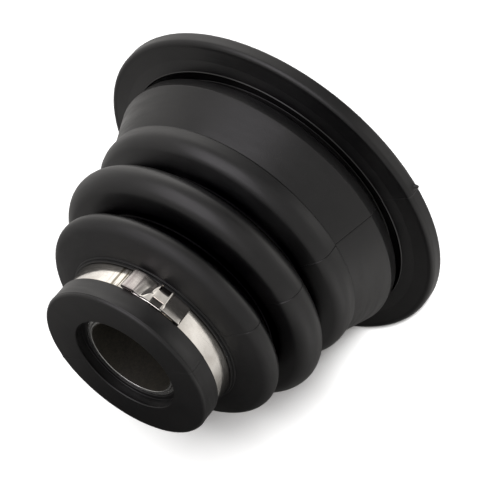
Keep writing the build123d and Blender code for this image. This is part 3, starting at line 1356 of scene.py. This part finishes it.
@dataclass
class BushSet:
    """The steel sleeve in the rubber hub, and the lined bush in the sleeve."""

    rings: tuple[Ring, ...] = (
        Ring("steel_sleeve_ring", "steel_sleeve", "sleeve_steel", 15.0, 16.3, 78.65, 0.3),
        Ring("bush_shell", "lined_bush", "sleeve_steel", 14.3, 15.0, 79.05, 0.2),
        Ring("bush_lining", "lined_bush", "bush_lining", 14.0, 14.3, 79.0, 0.1),
    )
    bottom: float = 59.05
    arc_step: float = 18.0
    steps: int = 160

    def build(self, finishes: dict[str, Material]) -> list[Piece]:
        """Turn the rings.

        Args:
            finishes: material for each slot.

        Returns:
            The rings' objects.
        """
        return [self.turn_ring(ring, finishes[ring.slot]) for ring in self.rings]

    def turn_ring(self, ring: Ring, finish: Material) -> Piece:
        """Turn one ring with rounded ends.

        Args:
            ring: the ring.
            finish: its material.

        Returns:
            The ring's object.
        """
        mesh = bmesh.new()
        middle = Corner((ring.inner + ring.outer) / 2, self.bottom)
        section_pen(mesh, self.arc_step).outline(
            [
                middle,
                Corner(ring.outer, self.bottom, ring.edge),
                Corner(ring.outer, ring.top, ring.edge),
                Corner(ring.inner, ring.top, ring.edge),
                Corner(ring.inner, self.bottom, ring.edge),
                middle,
            ]
        )
        turn_sections(mesh, [(FULL_TURN, self.steps)])
        return finish_piece(ring.name, mesh, finish, ring.node)


# ---- Studio ----


@dataclass(frozen=True)
class SoftBox:
    """A soft studio light: where it stands, how large and how strong it is, and its colour."""

    name: str
    azimuth: float
    elevation: float
    distance: float
    width: float
    height: float
    power: float
    tone: tuple[float, float, float]
    floor_only: bool = False


@dataclass(frozen=True)
class Glow:
    """A soft glow of the surroundings: its direction and reach in degrees, and its strength."""

    azimuth: float
    elevation: float
    reach: float
    strength: float

    @property
    def direction(self) -> tuple[float, float, float]:
        """Unit vector towards the glow's middle."""
        rise = math.radians(self.elevation)
        return (*polar(math.cos(rise), self.azimuth), math.sin(rise))


@dataclass
class Studio:
    """Floor, lights and camera. Lengths in metres, angles in degrees."""

    floor_radius: float = 6.0
    floor_segments: int = 96
    surround: float = 0.61
    surround_tone: Colour = (1.0, 0.975, 0.95, 1.0)
    backdrop: float = 1.1
    black_point: float = 0.0015
    glows: tuple[Glow, ...] = (
        Glow(117.0, -52.0, 26.0, 1.4),
        Glow(117.0, -50.0, 50.0, 0.22),
        Glow(-10.0, -58.0, 18.0, 1.0),
        Glow(130.0, 5.0, 30.0, 0.2),
        Glow(-62.0, 12.0, 26.0, 0.5),
        Glow(-150.0, 24.0, 32.0, -0.34),
        Glow(38.0, -50.0, 22.0, -0.58),
        Glow(-5.0, -30.0, 20.0, 0.3),
    )
    # Place of the black sheet of painted ground shade, seen only in reflections
    shade_sheet_azimuth: float = -109.0
    shade_sheet_foot_radius: float = 0.0625
    shade_sheet_lean: float = 21.7
    shade_sheet_middle: float = 0.045
    shade_sheet_size: float = 0.4
    camera_azimuth: float = 34.40
    camera_elevation: float = 28.665
    camera_roll: float = -140.64
    camera_distance: float = 0.7
    camera_aim: tuple[float, float, float] = (0.03044, 0.01723, 0.04376)
    nearest: float = 0.01
    lens: float = 180.0
    sensor: float = 36.0
    light_aim: tuple[float, float, float] = (0.0, 0.0, 0.045)
    lights: tuple[SoftBox, ...] = (
        SoftBox("large_softbox", 75.0, 31.0, 0.8, 0.74, 0.8, 3.1, (0.98, 0.935, 1.0)),
        SoftBox("shadow_softbox", 41.0, 25.5, 4.0, 0.6, 0.6, 1150.0, (1.0, 1.0, 1.0), floor_only=True),
    )

    def build(self) -> None:
        """Set up the whole studio."""
        self.build_world()
        floor_group = self.build_floor()
        self.build_ground_shade()
        for box in self.lights:
            self.build_light(box, floor_group)
        self.build_camera()
        self.set_exposure()

    def set_exposure(self) -> None:
        """Set plain tones with a slightly raised black point."""
        view = bpy.context.scene.view_settings
        view.view_transform = "Standard"
        view.use_curve_mapping = True
        view.curve_mapping.black_level = (self.black_point,) * 3
        view.curve_mapping.update()

    def build_world(self) -> None:
        """Set up pale surroundings with soft glows to mirror, and plain white to look at."""
        world = bpy.data.worlds.new("pale_surroundings")
        bpy.context.scene.world = world
        world.use_nodes = True
        desk = Desk(world.node_tree)
        shader = world.node_tree.nodes["Background"]
        where = desk.node("ShaderNodeTexCoord").outputs["Generated"]
        where = desk.node("ShaderNodeVectorMath", {0: where}, operation="NORMALIZE").outputs["Vector"]
        light = self.surround
        for glow in self.glows:
            values = {0: where, 1: glow.direction}
            nearness = desk.node("ShaderNodeVectorMath", values, operation="DOT_PRODUCT").outputs["Value"]
            away = desk.sum("DIVIDE", desk.sum("ARCCOSINE", nearness), math.radians(glow.reach))
            fade = desk.sum("EXPONENT", desk.sum("MULTIPLY", desk.sum("MULTIPLY", away, away), -1.0))
            light = desk.sum("MULTIPLY_ADD", fade, glow.strength, light)
        seen = desk.node("ShaderNodeLightPath").outputs["Is Camera Ray"]
        strength = desk.node("ShaderNodeMix", {"Factor": seen, "A": light, "B": self.backdrop})
        desk.feed(shader.inputs["Strength"], strength.outputs["Result"])
        set_plain(shader, Color=self.surround_tone)

    def build_floor(self) -> bpy.types.Collection:
        """Lay a plain pale floor under the object, open to views from below.

        Returns:
            A group that holds only the floor.
        """
        mesh = bmesh.new()
        bmesh.ops.create_circle(mesh, cap_ends=True, segments=self.floor_segments, radius=self.floor_radius)
        floor = put_in_scene("pale_floor", mesh, FloorFinish().build())
        floor.visible_glossy = False
        floor_group = bpy.data.collections.new("floor_only")
        floor_group.objects.link(floor)
        return floor_group

    def build_ground_shade(self) -> None:
        """Stand a black sheet with soft edges along the object's dark side, where the shaded ground would be,
        as painted shade seen only in reflections.
        """
        mesh = bmesh.new()
        bmesh.ops.create_grid(mesh, x_segments=1, y_segments=1, size=self.shade_sheet_size / 2)
        sheet = put_in_scene("ground_shade_sheet", mesh, GroundShadeFinish().build())
        turned = Matrix.Rotation(math.radians(self.shade_sheet_azimuth), 4, "Z")
        turned @= Matrix.Rotation(math.radians(RIGHT_ANGLE - self.shade_sheet_lean), 4, "Y")
        foot = Vector((*polar(self.shade_sheet_foot_radius, self.shade_sheet_azimuth), 0.0))
        along = (turned.to_3x3() @ Vector((-1.0, 0.0, 0.0))) * self.shade_sheet_middle
        sheet.matrix_world = Matrix.Translation(foot + along) @ turned
        sheet.visible_camera = False
        sheet.visible_diffuse = False
        sheet.visible_shadow = False
        sheet.visible_transmission = False

    def build_light(self, box: SoftBox, floor_group: bpy.types.Collection) -> None:
        """Set up one soft box, turned to the object.

        Args:
            box: the light's place, size and power.
            floor_group: group that holds only the floor.
        """
        data = bpy.data.lights.new(box.name, "AREA")
        data.shape = "RECTANGLE"
        data.size = box.width
        data.size_y = box.height
        data.energy = box.power
        data.color = box.tone
        light = bpy.data.objects.new(box.name, data)
        light.matrix_world = self.stand(box.azimuth, box.elevation, 0.0, box.distance, self.light_aim)
        light.visible_camera = False
        if box.floor_only:
            light.light_linking.receiver_collection = floor_group
        bpy.context.scene.collection.objects.link(light)

    def build_camera(self) -> None:
        """Set up the camera."""
        data = bpy.data.cameras.new("camera")
        data.sensor_width = self.sensor
        data.lens = self.lens
        data.clip_start = self.nearest
        camera = bpy.data.objects.new("camera", data)
        turns = (self.camera_azimuth, self.camera_elevation, self.camera_roll)
        camera.matrix_world = self.stand(*turns, self.camera_distance, self.camera_aim)
        bpy.context.scene.collection.objects.link(camera)
        bpy.context.scene.camera = camera

    @staticmethod
    def stand(azimuth: float, elevation: float, roll: float, distance: float, aim: Iterable[float]) -> Matrix:
        """Place a camera or light that looks at a point.

        Args:
            azimuth: where it stands about Z, in degrees from +X.
            elevation: how high it stands, in degrees.
            roll: how far it is turned about its own axis, in degrees.
            distance: how far it stands from the point, in metres.
            aim: the point that it looks at, in metres.

        Returns:
            Its matrix.
        """
        turned = Matrix.Rotation(math.radians(RIGHT_ANGLE + azimuth), 4, "Z")
        turned @= Matrix.Rotation(math.radians(RIGHT_ANGLE - elevation), 4, "X")
        back = turned.to_3x3() @ Vector((0, 0, 1))
        turned @= Matrix.Rotation(math.radians(roll), 4, "Z")
        return Matrix.Translation(Vector(aim) + back * distance) @ turned


def main() -> None:
    """Build every piece in order, and then the studio."""
    logging.basicConfig(level=logging.INFO, format="%(name)s: %(message)s")
    Effects().build()
    steel = TurnedSteelFinish().build()
    BellowsBoot().build(RubberFinish().build())
    BandClamp().build(StripFinish().build())
    BushSet().build({"sleeve_steel": steel, "bush_lining": LiningFinish().build()})
    Studio().build()


if __name__ == "__main__":
    main()
